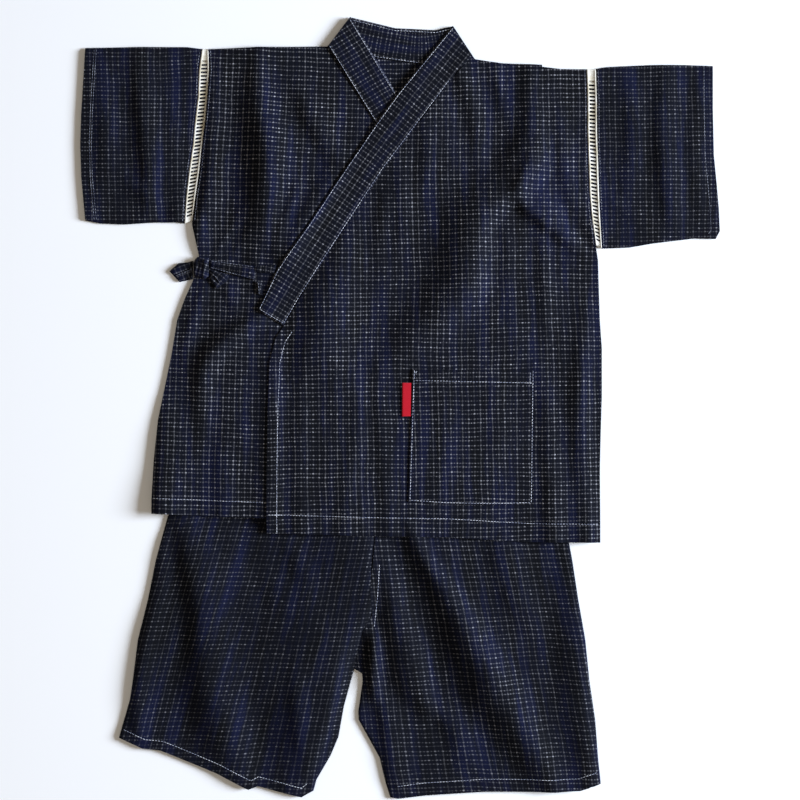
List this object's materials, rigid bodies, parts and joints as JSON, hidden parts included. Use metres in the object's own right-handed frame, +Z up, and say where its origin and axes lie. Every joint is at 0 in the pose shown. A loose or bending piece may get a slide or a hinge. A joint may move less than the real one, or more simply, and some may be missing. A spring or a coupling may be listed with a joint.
{
  "type": "jinbei set",
  "caption": "Child's jinbei laid flat: a wrap jacket with laced-on short sleeves over matching shorts, in navy dotted-check cotton.",
  "frame": {"origin": "on the surface it lies on, under the middle of the whole set", "axes": "+X to the wearer's left (the right of someone looking down at the front), +Y towards the collar, +Z up from the surface"},
  "size_m": [0.64, 0.782, 0.0088],
  "materials": {
    "navy_cotton": "matte dobby weave with white dashes",
    "collar_cotton": "pressed folded dobby weave",
    "cream_cotton": "matte ladder lace and topstitch thread",
    "red_ribbon": "woven ribbon, blank"
  },
  "bodies": {
    "root": {"leg_right": "navy_cotton", "leg_left": "navy_cotton", "waistband": "navy_cotton", "back": "navy_cotton", "front_right": "navy_cotton", "front_left": "navy_cotton", "sleeve_right": "navy_cotton", "sleeve_left": "navy_cotton", "lace_right": "cream_cotton", "lace_left": "cream_cotton", "collar_neck": "collar_cotton", "collar_right": "collar_cotton", "collar_left": "collar_cotton", "pocket": "navy_cotton", "tab_label": "red_ribbon", "tie_band": "navy_cotton", "tie_knot": "navy_cotton", "tie_loop": "navy_cotton", "tie_petal": "navy_cotton", "tie_tail": "navy_cotton"}
  },
  "joints": []
}
